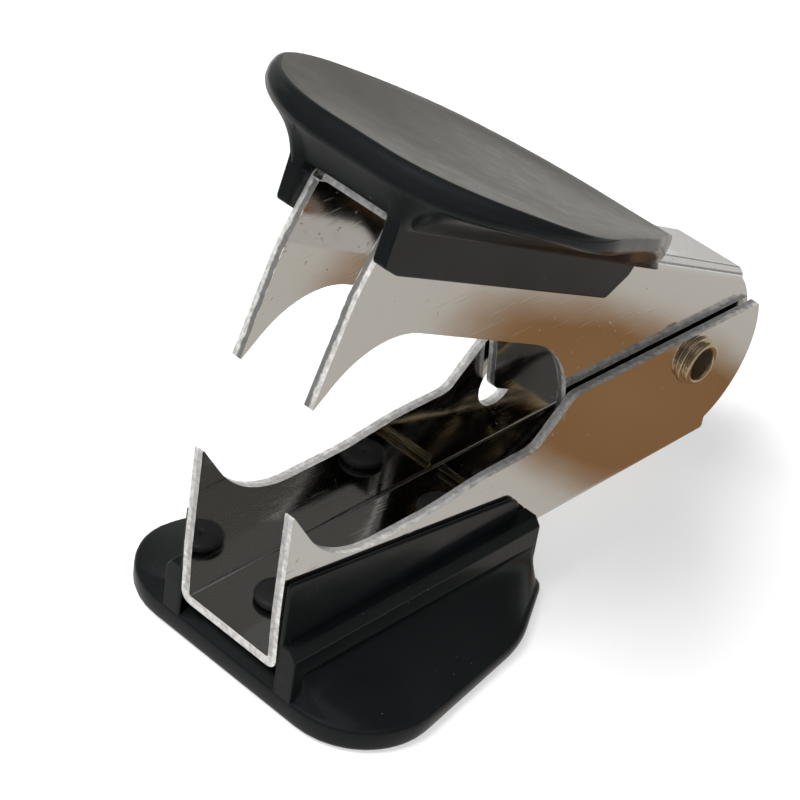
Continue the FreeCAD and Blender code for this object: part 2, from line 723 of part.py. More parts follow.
def check_and_export(parts):
    """Stop on any failed object or bad shape, then write each piece to its own file."""
    doc.recompute()
    for item in doc.Objects:
        if "Invalid" in item.State or "Error" in item.State:
            raise RuntimeError(f"{item.Label} did not compute: {item.State}")
    os.makedirs("parts", exist_ok=True)
    for part in parts:
        shape = part.Shape
        if shape.isNull() or not shape.isValid() or len(shape.Solids) != 1:
            raise RuntimeError(f"{part.Label} is not one valid solid")
        shape.exportStep(f"parts/{part.Label}.step")
        print(f"{part.Label}: {shape.Volume:.1f} mm3")


check_and_export([
    make_lower_jaw(),
    make_upper_jaw(),
    make_pivot_rivet(),
    make_lower_grip(),
    make_upper_grip(),
    make_torsion_spring(),
])
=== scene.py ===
import json
import math
from collections import namedtuple

import bmesh
import bpy
from mathutils import Matrix, Vector


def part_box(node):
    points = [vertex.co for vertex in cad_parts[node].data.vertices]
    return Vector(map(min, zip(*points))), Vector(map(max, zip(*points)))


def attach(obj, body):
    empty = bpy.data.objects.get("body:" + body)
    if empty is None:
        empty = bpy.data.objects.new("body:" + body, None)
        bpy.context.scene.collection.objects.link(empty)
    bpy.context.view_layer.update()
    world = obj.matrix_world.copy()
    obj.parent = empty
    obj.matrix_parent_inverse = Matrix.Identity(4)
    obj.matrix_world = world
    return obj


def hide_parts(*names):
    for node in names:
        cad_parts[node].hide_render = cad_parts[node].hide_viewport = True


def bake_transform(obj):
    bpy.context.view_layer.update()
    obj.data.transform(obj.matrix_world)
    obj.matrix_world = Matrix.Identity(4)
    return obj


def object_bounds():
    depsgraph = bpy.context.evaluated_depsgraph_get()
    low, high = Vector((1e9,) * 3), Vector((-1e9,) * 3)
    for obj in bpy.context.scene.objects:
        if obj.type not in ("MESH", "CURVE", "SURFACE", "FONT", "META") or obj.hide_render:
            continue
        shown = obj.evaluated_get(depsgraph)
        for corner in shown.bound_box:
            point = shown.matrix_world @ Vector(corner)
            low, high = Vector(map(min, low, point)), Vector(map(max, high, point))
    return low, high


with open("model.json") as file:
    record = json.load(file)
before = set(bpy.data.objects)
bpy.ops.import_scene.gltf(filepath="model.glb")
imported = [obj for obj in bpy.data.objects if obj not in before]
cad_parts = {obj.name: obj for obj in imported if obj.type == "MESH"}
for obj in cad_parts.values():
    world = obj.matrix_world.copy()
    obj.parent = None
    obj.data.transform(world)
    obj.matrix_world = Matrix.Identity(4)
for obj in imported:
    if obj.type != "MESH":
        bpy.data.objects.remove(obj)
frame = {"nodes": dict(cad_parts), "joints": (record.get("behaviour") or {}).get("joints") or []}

# A jaw-type staple remover, sprung open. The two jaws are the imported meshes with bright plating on
# them. The thumb pad, the desk base, the heads of their stakes, the hollow rivet and the torsion
# spring are built here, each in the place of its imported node. Lengths are millimetres, and turn to
# metres where a mesh, a light or the camera is made.

MM = 0.001
CAD_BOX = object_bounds()

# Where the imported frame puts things, and the sheet metal's own sizes.
PIVOT = Vector(frame["joints"][0]["pos_m"]) / MM
OPEN_TILT = math.radians(25.8)
LOWER_LOW, LOWER_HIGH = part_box("lower_jaw")
SEAT = LOWER_LOW.z / MM
LOWER_WALL = LOWER_HIGH.y / MM
UPPER_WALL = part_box("upper_jaw")[1].y / MM
GAUGE = 0.95
UPPER_RISE = 8.9
UPPER_REACH = 52.0

# Directions of the upper jaw: rearwards along its web, and outwards from it.
WEB_ALONG = Vector((math.cos(OPEN_TILT), 0, -math.sin(OPEN_TILT)))
WEB_OUT = Vector((math.sin(OPEN_TILT), 0, math.cos(OPEN_TILT)))
WEB_FRONT = PIVOT - WEB_ALONG * UPPER_REACH + WEB_OUT * UPPER_RISE

REARWARDS = Vector((1, 0, 0))
FARWARDS = Vector((0, 1, 0))
UPWARDS = Vector((0, 0, 1))

# Gap left between a part built here and the sheet it lies against, so that no two faces coincide.
SKIN_GAP = 0.02


def lower_point(x, y, z):
    """A point of the lower half: x from the pivot, z above the seat the jaw stands on."""
    return Vector((PIVOT.x + x, y, SEAT + z))


def upper_point(x, y, h):
    """A point of the upper half: x back from the web's front edge, h out from its face."""
    return WEB_FRONT + WEB_ALONG * x + Vector((0, y, 0)) + WEB_OUT * h


def held(value, low, high):
    return min(max(value, low), high)


def share_between(start, end, value):
    """How far a value has come from start to end, held between 0 and 1."""
    return held((value - start) / (end - start), 0.0, 1.0)


def ease(start, end, value):
    """The same share, made smooth at both ends."""
    share = share_between(start, end, value)
    return share * share * (3 - 2 * share)


# ---------------------------------------------------------------- mesh helpers

BEVEL_SEGMENTS = 3
BEVEL_ANGLE = math.radians(35)


def make_piece(name, points, faces, body, material, smooth=True):
    """A mesh piece that rides on a body, unless that is None."""
    mesh = bpy.data.meshes.new(name)
    mesh.from_pydata([tuple(point * MM) for point in points], [], faces)
    mesh.validate()
    mesh.update()
    for polygon in mesh.polygons:
        polygon.use_smooth = smooth
    piece = bpy.data.objects.new(name, mesh)
    bpy.context.scene.collection.objects.link(piece)
    mesh.materials.append(material)
    if body is not None:
        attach(piece, body)
    return piece


def face_outwards(piece):
    """Turn every face of a closed mesh to the outside."""
    work = bmesh.new()
    work.from_mesh(piece.data)
    bmesh.ops.recalc_face_normals(work, faces=work.faces)
    work.to_mesh(piece.data)
    work.free()


def add_bevel(piece, width):
    bevel = piece.modifiers.new("edge_round", "BEVEL")
    bevel.width = width * MM
    bevel.segments = BEVEL_SEGMENTS
    bevel.limit_method = "ANGLE"
    bevel.angle_limit = BEVEL_ANGLE
    bevel.harden_normals = True


def rounded_outline(corners, steps=10):
    """Points of a closed outline from corners (x, y, radius)."""
    points = []
    count = len(corners)
    for i, (x, y, radius) in enumerate(corners):
        here = Vector((x, y))
        if radius == 0:
            points.append(here)
            continue
        back = (Vector(corners[i - 1][:2]) - here).normalized()
        ahead = (Vector(corners[(i + 1) % count][:2]) - here).normalized()
        half = back.angle(ahead) / 2
        middle = (back + ahead).normalized()
        centre = here + middle * (radius / math.sin(half))
        start = here + back * (radius / math.tan(half)) - centre
        end = here + ahead * (radius / math.tan(half)) - centre
        turn = start.angle_signed(end)
        for step in range(steps + 1):
            swing = Matrix.Rotation(-turn * step / steps, 2)
            points.append(centre + swing @ start)
    return points


def rounded_path(points, radius, steps=8):
    """An open path through points with its inner corners rounded."""
    path = [points[0]]
    for before, corner, after in zip(points, points[1:], points[2:]):
        back = (before - corner).normalized()
        ahead = (after - corner).normalized()
        half = back.angle(ahead) / 2
        start = corner + back * (radius / math.tan(half))
        end = corner + ahead * (radius / math.tan(half))
        middle = (back + ahead).normalized()
        centre = corner + middle * (radius / math.sin(half))
        for step in range(steps + 1):
            spoke = (start - centre).slerp(end - centre, step / steps)
            path.append(centre + spoke)
    path.append(points[-1])
    return path


def mirrored(half):
    """A whole outline from the corners of its +Y half, front to rear."""
    return half + [(x, -y, radius) for x, y, radius in reversed(half)]


def even_points(points, count):
    """The same closed outline with its points spaced evenly, starting at the front centre."""
    spans = [(points[(i + 1) % len(points)] - point).length for i, point in enumerate(points)]
    total = sum(spans)
    offset = (points[0] - Vector((points[0].x, 0))).length
    result = []
    for step in range(count):
        target = (step / count * total - offset) % total
        i = 0
        while target > spans[i] and i < len(spans) - 1:
            target -= spans[i]
            i += 1
        share = target / max(spans[i], 1e-9)
        result.append(points[i].lerp(points[(i + 1) % len(points)], share))
    return result


def grown(points, distance):
    """An outline moved outwards by a distance."""
    count = len(points)
    result = []
    for i, point in enumerate(points):
        along = (points[(i + 1) % count] - points[i - 1]).normalized()
        result.append(point + Vector((-along.y, along.x)) * distance)
    return result


def ring_faces(rings, count, capped=True):
    """Quads between closed rings of equal size, with the first and last ring filled if capped."""
    faces = []
    for ring in range(rings - 1):
        for i in range(count):
            j = (i + 1) % count
            base = ring * count
            faces.append((base + i, base + j, base + count + j, base + count + i))
    if capped:
        faces.append(tuple(range(count))[::-1])
        faces.append(tuple((rings - 1) * count + i for i in range(count)))
    return faces


def loft(name, rings, body, material):
    """A closed skin over rings of equal size."""
    points = [point for ring in rings for point in ring]
    piece = make_piece(name, points, ring_faces(len(rings), len(rings[0])), body, material)
    face_outwards(piece)
    return piece


def prism(name, corners, low, high, to_world, body, material, bevel):
    """A flat outline given thickness, with its edges rounded."""
    outline = rounded_outline(corners, steps=8)
    points = [to_world(point, side) for side in (low, high) for point in outline]
    faces = ring_faces(2, len(outline))
    piece = make_piece(name, points, faces, body, material, smooth=False)
    face_outwards(piece)
    add_bevel(piece, bevel)
    return piece


def lathe(name, profile, centre, axis, side, body, material, segments=72):
    """A closed profile of (radius, along) turned about an axis through a centre."""
    third = axis.cross(side)
    points = []
    for radius, along in profile:
        for i in range(segments):
            angle = 2 * math.pi * i / segments
            spoke = side * math.cos(angle) + third * math.sin(angle)
            points.append(centre + axis * along + spoke * radius)
    faces = ring_faces(len(profile), segments, capped=False)
    last = (len(profile) - 1) * segments
    for i in range(segments):
        j = (i + 1) % segments
        faces.append((last + i, last + j, j, i))
    piece = make_piece(name, points, faces, body, material)
    face_outwards(piece)
    return piece


def tube(name, path, radius, body, material, sides=16):
    """A round wire along a path, carried along without twisting."""
    angles = [2 * math.pi * k / sides for k in range(sides)]
    rings = []
    ahead = (path[1] - path[0]).normalized()
    side = ahead.orthogonal().normalized()
    for i, point in enumerate(path):
        after = path[min(i + 1, len(path) - 1)]
        before = path[max(i - 1, 0)]
        turned = (after - before).normalized()
        side = (ahead.rotation_difference(turned) @ side).normalized()
        ahead = turned
        third = ahead.cross(side)
        rings.append([point + (side * math.cos(a) + third * math.sin(a)) * radius for a in angles])
    return loft(name, rings, body, material)


# ---------------------------------------------------------------- materials


class Nodes:
    """Short calls for building a node tree. Noise scales are per millimetre."""

    def __init__(self, tree):
        self.tree = tree
        tree.nodes.clear()

    def add(self, kind, settings=None, **inputs):
        node = self.tree.nodes.new("ShaderNode" + kind)
        for key, value in (settings or {}).items():
            setattr(node, key, value)
        for key, value in inputs.items():
            self.feed(node.inputs[key.replace("_", " ")], value)
        return node

    def feed(self, socket, value):
        if isinstance(value, bpy.types.NodeSocket):
            self.tree.links.new(value, socket)
        elif isinstance(value, bpy.types.Node):
            self.tree.links.new(value.outputs[0], socket)
        else:
            socket.default_value = value

    def math(self, operation, first, second=0.0):
        node = self.add("Math", {"operation": operation})
        self.feed(node.inputs[0], first)
        self.feed(node.inputs[1], second)
        return node.outputs[0]

    def vector_math(self, operation, first, second):
        node = self.add("VectorMath", {"operation": operation})
        self.feed(node.inputs[0], first)
        self.feed(node.inputs[1], second)
        return node

    def dot(self, vector, direction):
        return self.vector_math("DOT_PRODUCT", vector, direction).outputs["Value"]

    def place(self, stretch=(1, 1, 1)):
        """Object position in millimetres, stretched along each axis."""
        position = self.add("TexCoord").outputs["Object"]
        per_metre = tuple(factor / MM for factor in stretch)
        return self.vector_math("MULTIPLY", position, per_metre).outputs[0]

    def noise(self, scale, detail=3.0, stretch=(1, 1, 1), roughness=0.5):
        spot = self.place(stretch)
        node = self.add("TexNoise", Vector=spot, Scale=scale, Detail=detail, Roughness=roughness)
        return node.outputs["Fac"]

    def ramp(self, value, stops):
        """A colour from a value, through stops of (value, grey or colour)."""
        node = self.add("ValToRGB", Fac=value)
        elements = node.color_ramp.elements
        while len(elements) < len(stops):
            elements.new(0.5)
        for element, (position, colour) in zip(elements, stops):
            element.position = position
            grey = (colour, colour, colour, 1)
            element.color = colour if isinstance(colour, tuple) else grey
        return node.outputs[0]

    def mix(self, share, first, second):
        node = self.add("Mix", {"data_type": "RGBA"})
        self.feed(node.inputs["Factor"], share)
        self.feed(node.inputs[6], first)
        self.feed(node.inputs[7], second)
        return node.outputs[2]

    def bump(self, height, distance, normal=None):
        node = self.add("Bump", Height=height, Distance=distance * MM, Strength=1.0)
        if normal is not None:
            self.feed(node.inputs["Normal"], normal)
        return node.outputs["Normal"]

    def join(self, kind, first, second, share=None):
        """Two shaders joined by a MixShader with a share, or by an AddShader."""
        node = self.add(kind)
        shaders = [socket for socket in node.inputs if socket.type == "SHADER"]
        if share is not None:
            self.feed(node.inputs["Fac"], share)
        self.feed(shaders[0], first)
        self.feed(shaders[1], second)
        return node

    def output(self, shader, kind="OutputMaterial"):
        self.add(kind, Surface=shader)


def new_material(name):
    material = bpy.data.materials.new(name)
    material.use_nodes = True
    return material, Nodes(material.node_tree)


# How a folded channel's sheared edges are found and shaded: the direction the channel opens in, the
# distance along it from which a face that doesn't look sideways is an edge, the direction of the
# channel's front, the distance from the middle to the outside of a wall, and how dark the band on
# the inner side of an edge is painted, partly as the sheet's tear and partly as painted shade.
CutEdges = namedtuple("CutEdges", "opening start front wall darkness")

# Dark grey of the inner band of a cut edge: partly the colour of the tear, partly painted shade.
TORN_AND_SHADED_GREY = (0.12, 0.12, 0.12, 1)
SHEARED_DULL = (0.52, 0.51, 0.50, 1)
SHEARED_BRIGHT = (0.95, 0.94, 0.92, 1)


def plated_face(n, tint, metal):
    """Bright plating over rolled sheet: faint waviness, hairline scratches and a few specks."""
    darker = tuple(channel * 0.93 for channel in tint[:3]) + (1,)
    colour = n.mix(n.noise(0.05, detail=2), tint, darker)
    haze = n.ramp(n.noise(0.18, detail=5), [(0.35, 0.045), (0.75, 0.11)])
    hairs = n.ramp(n.noise(2.2, detail=2, stretch=(0.12, 1, 1.6)), [(0.62, 0.0), (0.70, 1.0)])
    specks = n.ramp(n.noise(1.5, detail=1), [(0.74, 0.0), (0.78, 1.0)])
    roughness = n.math("ADD", haze, n.math("MULTIPLY", hairs, 0.05))
    waves = n.bump(n.noise(0.10, detail=1), 0.035)
    scratches = n.bump(hairs, 0.0016, normal=waves)
    normal = n.bump(specks, 0.012, normal=scratches)
    shader = n.add("BsdfPrincipled", Base_Color=colour, Metallic=metal, Roughness=roughness)
    n.feed(shader.inputs["Normal"], normal)
    return shader


def sheared_edges(n, edges):
    """Where the sheared edges are, and their shader: coarse and bright outside, dark inside where
    the sheet tore, that dark band also being painted shade.
    """
    facing = n.add("NewGeometry").outputs["True Normal"]
    across = n.math("LESS_THAN", n.math("ABSOLUTE", n.dot(facing, FARWARDS)), 0.5)
    beyond = n.math("GREATER_THAN", n.dot(n.place(), edges.opening), edges.start)
    nose = n.math("GREATER_THAN", n.dot(facing, edges.front), 0.8)
    where = n.math("MULTIPLY", across, n.math("MAXIMUM", beyond, nose))

    # The dark band, where the sheet tore and where shade is painted on the edge, starts halfway
    # through the sheet, along a wandering line.
    wander = n.math("MULTIPLY", n.math("SUBTRACT", n.noise(0.9, detail=4), 0.5), 0.5)
    from_middle = n.math("ABSOLUTE", n.dot(n.place(), FARWARDS))
    depth = n.math("ADD", n.math("SUBTRACT", edges.wall, from_middle), wander)
    band = [(0.40, 0.0), (0.55, 1.0), (0.996, 1.0), (1.0, 0.0)]
    tear_and_shade_band = n.ramp(n.math("DIVIDE", depth, GAUGE), band)
    darkened = n.math("MULTIPLY", tear_and_shade_band, n.math("MULTIPLY", beyond, edges.darkness))

    grain = n.noise(1.7, detail=5, roughness=0.65)
    sheared = n.mix(n.ramp(grain, [(0.35, 0.0), (0.65, 1.0)]), SHEARED_DULL, SHEARED_BRIGHT)
    colour = n.mix(darkened, sheared, TORN_AND_SHADED_GREY)
    broken = n.bump(n.noise(0.7, detail=3), 0.10, normal=n.bump(grain, 0.03))
    shader = n.add("BsdfPrincipled", Base_Color=colour, Metallic=0.6, Roughness=0.3)
    n.feed(shader.inputs["Normal"], broken)
    return where, shader


def chrome(name, tint, metal=1.0, cut_edges=None):
    material, n = new_material(name)
    shader = plated_face(n, tint, metal)
    if cut_edges is not None:
        where, edge = sheared_edges(n, cut_edges)
        shader = n.join("MixShader", shader, edge, share=where)
    n.output(shader)
    return material


def moulded_plastic(name, colour, rough_low, rough_high, grain_depth, specular=0.5):
    """Moulded plastic with slight flow marks, a faint orange peel and settled dust."""
    material, n = new_material(name)
    flow = n.noise(0.12, detail=3, stretch=(1, 0.5, 1))
    paler = tuple(channel * 1.5 + 0.002 for channel in colour[:3]) + (1,)
    dust = n.ramp(n.noise(3.6, detail=1), [(0.79, 0.0), (0.81, 1.0)])
    dusty = n.mix(n.math("MULTIPLY", dust, 0.2), n.mix(flow, colour, paler), (0.35, 0.34, 0.31, 1))
    roughness = n.ramp(n.noise(0.45, detail=6), [(0.3, rough_low), (0.75, rough_high)])
    peel = n.bump(n.noise(1.1, detail=2), grain_depth)
    normal = n.bump(n.noise(9.0, detail=2), grain_depth * 0.15, normal=peel)
    shader = n.add("BsdfPrincipled", Base_Color=dusty, Roughness=roughness, Normal=normal)
    shader.inputs["Specular IOR Level"].default_value = specular
    n.output(shader)
    return material


def drawn_wire(name):
    """Drawn spring wire, painted warm gold as a reflection of warm light, with lengthwise drawing
    marks.
    """
    material, n = new_material(name)
    # The warm gold of the wire is painted reflection: steel mirroring warm light, its tint varying
    # along a noise.
    tint = n.mix(n.noise(0.4, detail=3), (0.36, 0.26, 0.13, 1), (0.52, 0.42, 0.27, 1))
    marks = n.noise(3.0, detail=3, stretch=(0.2, 1, 1))
    roughness = n.ramp(marks, [(0.3, 0.12), (0.8, 0.22)])
    shader = n.add("BsdfPrincipled", Base_Color=tint, Metallic=1.0, Roughness=roughness)
    n.feed(shader.inputs["Normal"], n.bump(marks, 0.0008))
    n.output(shader)
    return material


# ---------------------------------------------------------------- upper grip
# Outline corners are (x back from the web's front edge, y, radius), heights are above the web.

RING_POINTS = 160
PAD_HALF = [(-3.3, 9.3, 13.4), (7.0, 17.3, 9.5), (24.5, 12.1, 30), (42.9, 2.9, 2.8)]
PAD_ROOT = [(-1.95, 6.03, 0.6), (39.0, 6.03, 2.0)]
# The lip's section: share of the swell that it stands out, share of the band's thickness down.
PAD_LIP = [
    (0.0, 0.0), (0.12, 0.01), (0.30, 0.07), (0.48, 0.22),
    (0.58, 0.45), (0.56, 0.7), (0.42, 0.88), (0.2, 1.0),
]
# The crest is level between two places, and falls away over a length in front of and behind them.
PAD_CREST = 5.0
PAD_LEVEL = (6, 10)
PAD_FRONT_SAG = 0.45
PAD_FRONT_LENGTH = 9
PAD_TAIL_FALL = 3.5
PAD_TAIL_LENGTH = 33
PAD_TAIL_CURVE = 1.9
# Thickness and swell along the sides, what the front and tail add, and where each comes in.
PAD_BAND = 1.35
PAD_BAND_AT_TAIL = 1.25
PAD_BAND_AT_FRONT = 1.0
PAD_BAND_TAIL_SPAN = (24, 40)
PAD_BAND_FRONT_SPAN = (6, -3)
PAD_SWELL = 0.45
PAD_SWELL_AT_FRONT = 1.0
PAD_SWELL_SPAN = (12, -1)
PAD_DISH_DEPTH = 1.1
PAD_DISH_STEPS = 10
PAD_SPINE = (7.0, 31.0)
PAD_SPINE_SHARE = 0.999
PAD_COVE_STEPS = 16
PAD_COVE_FULLNESS = 0.8
PAD_FOOT_BESIDE = -0.7
PAD_FOOT_ON_WEB = 0.03
PAD_UNDER = (0.4, 38.5, 4.3)
PAD_SKIRT_FACE = 6.05
PAD_SKIRT_SIDE = [
    (-3.7, 2.8, 0), (-2.1, 0.6, 6.0), (-1.2, -3.9, 0.5), (0.9, -4.4, 1.2),
    (31.5, -4.0, 0.7), (33.4, -1.6, 0.6), (34.0, 1.0, 0),
]
PAD_SKIRT_ROUND = 0.2


def pad_height(x):
    """Height of the dish's crest: sagging a little to the front, falling to the tail."""
    level_start, level_end = PAD_LEVEL
    sag = PAD_FRONT_SAG * (max(level_start - x, 0) / PAD_FRONT_LENGTH) ** 2
    fall = PAD_TAIL_FALL * (max(x - level_end, 0) / PAD_TAIL_LENGTH) ** PAD_TAIL_CURVE
    return PAD_CREST - sag - fall


def pad_band(x):
    """Thickness of the pad's edge: thin along the sides, thicker round the front and at the tail."""
    tail = PAD_BAND_AT_TAIL * ease(*PAD_BAND_TAIL_SPAN, x)
    front = PAD_BAND_AT_FRONT * ease(*PAD_BAND_FRONT_SPAN, x)
    return PAD_BAND + tail + front


def pad_swell(x):
    """How far the pad's edge bulges past the crest: most round the front."""
    return PAD_SWELL + PAD_SWELL_AT_FRONT * ease(*PAD_SWELL_SPAN, x)


def make_thumb_pad(gloss, satin):
    crest = even_points(rounded_outline(mirrored(PAD_HALF)), RING_POINTS)
    root = even_points(rounded_outline(mirrored(PAD_ROOT)), RING_POINTS)
    swollen = grown(crest, 1.0)
    heights = [pad_height(point.x) for point in crest]
    bands = [pad_band(point.x) for point in crest]

    # The rolled lip, from the crest outwards and down.
    rings = []
    for out, drop in PAD_LIP:
        rim = [p.lerp(q, out * pad_swell(p.x)) for p, q in zip(crest, swollen)]
        level = []
        for p, height, band in zip(rim, heights, bands):
            level.append(upper_point(p.x, p.y, height - drop * band))
        rings.append(level)

    # The cove under the lip, in to where the pad meets the jaw, and the underside on the web.
    for step in range(1, PAD_COVE_STEPS + 1):
        quarter_turn = math.pi / 2 * step / PAD_COVE_STEPS
        inwards = math.sin(quarter_turn)
        hollow = 1 - math.cos(quarter_turn)
        down = PAD_COVE_FULLNESS * inwards + (1 - PAD_COVE_FULLNESS) * hollow
        level = []
        for outer, inner, height, band in zip(rim, root, heights, bands):
            foot = PAD_FOOT_BESIDE if abs(inner.y) > UPPER_WALL else PAD_FOOT_ON_WEB
            flat = outer.lerp(inner, inwards)
            start = height - band
            level.append(upper_point(flat.x, flat.y, start + (foot - start) * down))
        rings.append(level)
    front, rear, half_width = PAD_UNDER
    under = [(held(p.x, front, rear), held(p.y, -half_width, half_width)) for p in root]
    rings.append([upper_point(x, y, SKIN_GAP) for x, y in under])
    rings.reverse()

    # The dish, from the crest in to a line along its middle. The last ring stops just short of the
    # line, so that every face keeps some width.
    first_dish_point = (len(rings) - 1) * RING_POINTS
    spine = [Vector((held(point.x, *PAD_SPINE), 0)) for point in crest]
    for step in range(1, PAD_DISH_STEPS + 1):
        share = step / PAD_DISH_STEPS
        sink = PAD_DISH_DEPTH * (1 - (1 - share) ** 2)
        flat = [p.lerp(q, min(share, PAD_SPINE_SHARE)) for p, q in zip(crest, spine)]
        rings.append([upper_point(p.x, p.y, pad_height(p.x) - sink) for p in flat])

    pad = loft("thumb_pad", rings, "upper", gloss)
    pad.data.materials.append(satin)
    for polygon in pad.data.polygons:
        if min(polygon.vertices) >= first_dish_point:
            polygon.material_index = 1
    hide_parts("upper_grip")


def make_pad_skirts(gloss):
    """Thin skirts that hang from the pad against the outside of the upper jaw's walls."""
    inside = UPPER_WALL + SKIN_GAP
    for name, hand in (("pad_skirt_near", -1), ("pad_skirt_far", 1)):
        def seen_from_side(point, y, hand=hand):
            return upper_point(point.x, hand * y, point.y)
        skirt = prism(name, PAD_SKIRT_SIDE, inside, PAD_SKIRT_FACE, seen_from_side, "upper", gloss,
                      PAD_SKIRT_ROUND)


# ---------------------------------------------------------------- lower grip
# Outline corners are (x from the pivot, y, radius), heights are above the jaw's seat.

BASE_HALF = [(-51.6, 17.4, 7.3), (-28.9, 13.6, 12.0), (-21.5, 9.2, 1.6)]
BASE_RIM = -1.9
BASE_RIM_STEP = 0.55
BASE_RIM_STEP_SPAN = (-49, -39)
BASE_RIM_SLOPE = 0.55
BASE_RIM_SLOPE_LENGTH = 18
# The rim's section: outwards from the outline, and height above the floor or below the rim's top.
BASE_FOOT_EDGE = [(-0.75, 0.0), (-0.35, 0.08), (-0.12, 0.28), (0.0, 0.6)]
BASE_RIM_EDGE = [(0.0, 0.45), (-0.07, 0.2), (-0.22, 0.05), (-0.42, 0.0)]
CHEEK = 7.9
CHEEK_FRONT = -51.55
CHEEK_REAR = -21.6
CHEEK_ROUND = 0.22
CHEEK_FOOT = -2.2
CHEEK_TOP = 3.2
CHEEK_EDGE = [(CHEEK, 2.35, 0.25), (7.45, 2.95, 0.2), (7.25, CHEEK_TOP, 0.15)]
SHELF = -1.5
SHELF_HALF_WIDTH = 6.4
SHELF_EDGE_WIDTH = 1.4
SHELF_MIDDLE_SCALE = (0.97, 0.8)
SHELF_MIDDLE_SHIFT = -1.0
WING_FRONT = -50.4
WING_ROOT = CHEEK - 0.05
WING_TOP = -0.2
WING_COVE = 0.8
WING_COVE_SHARPNESS = 9
WING_STEPS = 16
SKIRT_ROUND = 0.18
SKIRT_FACE = 6.3
SKIRT_SIDE = [
    (-51.55, -2.0, 0), (-51.55, 9.5, 0.25), (-23.3, 5.3, 1.5), (-22.6, 2.0, 0), (-22.6, -2.0, 0),
]


def base_rim(x):
    """Top of the base's rim: thick at the front, thin at the rear."""
    behind_step = max(x - BASE_RIM_STEP_SPAN[1], 0.0)
    slope = BASE_RIM_SLOPE * behind_step / BASE_RIM_SLOPE_LENGTH
    return BASE_RIM - BASE_RIM_STEP * ease(*BASE_RIM_STEP_SPAN, x) - slope


def make_desk_base(gloss):
    outline = even_points(rounded_outline(mirrored(BASE_HALF)), RING_POINTS)
    rims = [base_rim(point.x) for point in outline]

    rings = []
    for out, above_floor in BASE_FOOT_EDGE:
        rings.append([lower_point(p.x, p.y, above_floor - SEAT) for p in grown(outline, out)])
    for out, below_rim in BASE_RIM_EDGE:
        edge = grown(outline, out)
        rings.append([lower_point(p.x, p.y, rim - below_rim) for p, rim in zip(edge, rims)])

    # The wings rise straight from the rim and curl up at the cheeks. Between the cheeks the same
    # rings run level onto the shelf under the jaw.
    root = []
    for p in edge:
        inwards = Vector((held(p.x, WING_FRONT, CHEEK_REAR), held(p.y, -WING_ROOT, WING_ROOT)))
        root.append(inwards)
    for step in range(1, WING_STEPS + 1):
        share = step / WING_STEPS
        level = []
        for outer, inner, rim in zip(edge, root, rims):
            beside = share_between(0, SHELF_EDGE_WIDTH, abs(inner.y) - SHELF_HALF_WIDTH)
            top = SHELF + (WING_TOP - SHELF) * beside
            flat = outer.lerp(inner, share)
            cove = WING_COVE * beside * share ** WING_COVE_SHARPNESS
            level.append(lower_point(flat.x, flat.y, rim + (top - rim) * share + cove))
        rings.append(level)
    scale_x, scale_y = SHELF_MIDDLE_SCALE
    middle = [(p.x * scale_x + SHELF_MIDDLE_SHIFT, p.y * scale_y) for p in root]
    rings.append([lower_point(x, y, SHELF) for x, y in middle])
    base = loft("desk_base", rings, "lower", gloss)
    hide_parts("lower_grip")


def make_cheeks_and_skirts(gloss):
    """The low cheeks along the jaw's walls, and the thin skirts that stand up inside them."""
    inside = LOWER_WALL + SKIN_GAP
    foot = [(inside, CHEEK_FOOT, 0), (CHEEK, CHEEK_FOOT, 0)]
    cheek_section = foot + CHEEK_EDGE + [(inside, CHEEK_TOP, 0)]
    for suffix, hand in (("near", -1), ("far", 1)):
        def seen_from_front(point, x, hand=hand):
            return lower_point(x, hand * point.x, point.y)

        def seen_from_side(point, y, hand=hand):
            return lower_point(point.x, hand * y, point.y)

        cheek = prism("base_cheek_" + suffix, cheek_section, CHEEK_FRONT, CHEEK_REAR,
                      seen_from_front, "lower", gloss, CHEEK_ROUND)
        skirt = prism("base_skirt_" + suffix, SKIRT_SIDE, inside, SKIRT_FACE,
                      seen_from_side, "lower", gloss, SKIRT_ROUND)


# ---------------------------------------------------------------- stakes

# Half section of a spread stake's head: (radius, height), from its crown down to the sheet.
STAKE_PROFILE = [
    (0.02, 0.86), (0.9, 0.88), (1.5, 0.87), (1.8, 0.83), (1.96, 0.75), (2.05, 0.6),
    (2.07, 0.42), (2.0, 0.2), (1.85, 0.06), (1.6, 0.0), (0.02, 0.0),
]
STAKE_GAP = 0.01
LOWER_STAKES = (-45.9, -26.2)
UPPER_STAKES = (5.55, 25.15)


def make_stakes(satin):
    """Mushroom heads of the stakes, on the lower jaw's floor and under the upper jaw's web."""
    on_sheet = GAUGE + STAKE_GAP
    for number, x in enumerate(LOWER_STAKES, start=1):
        head = lathe(f"base_stake_{number}", STAKE_PROFILE, lower_point(x, 0, on_sheet),
                     UPWARDS, REARWARDS, "lower", satin)
    for number, x in enumerate(UPPER_STAKES, start=1):
        head = lathe(f"pad_stake_{number}", STAKE_PROFILE, upper_point(x, 0, -on_sheet),
                     -WEB_OUT, WEB_ALONG, "upper", satin)


# ---------------------------------------------------------------- rivet and spring

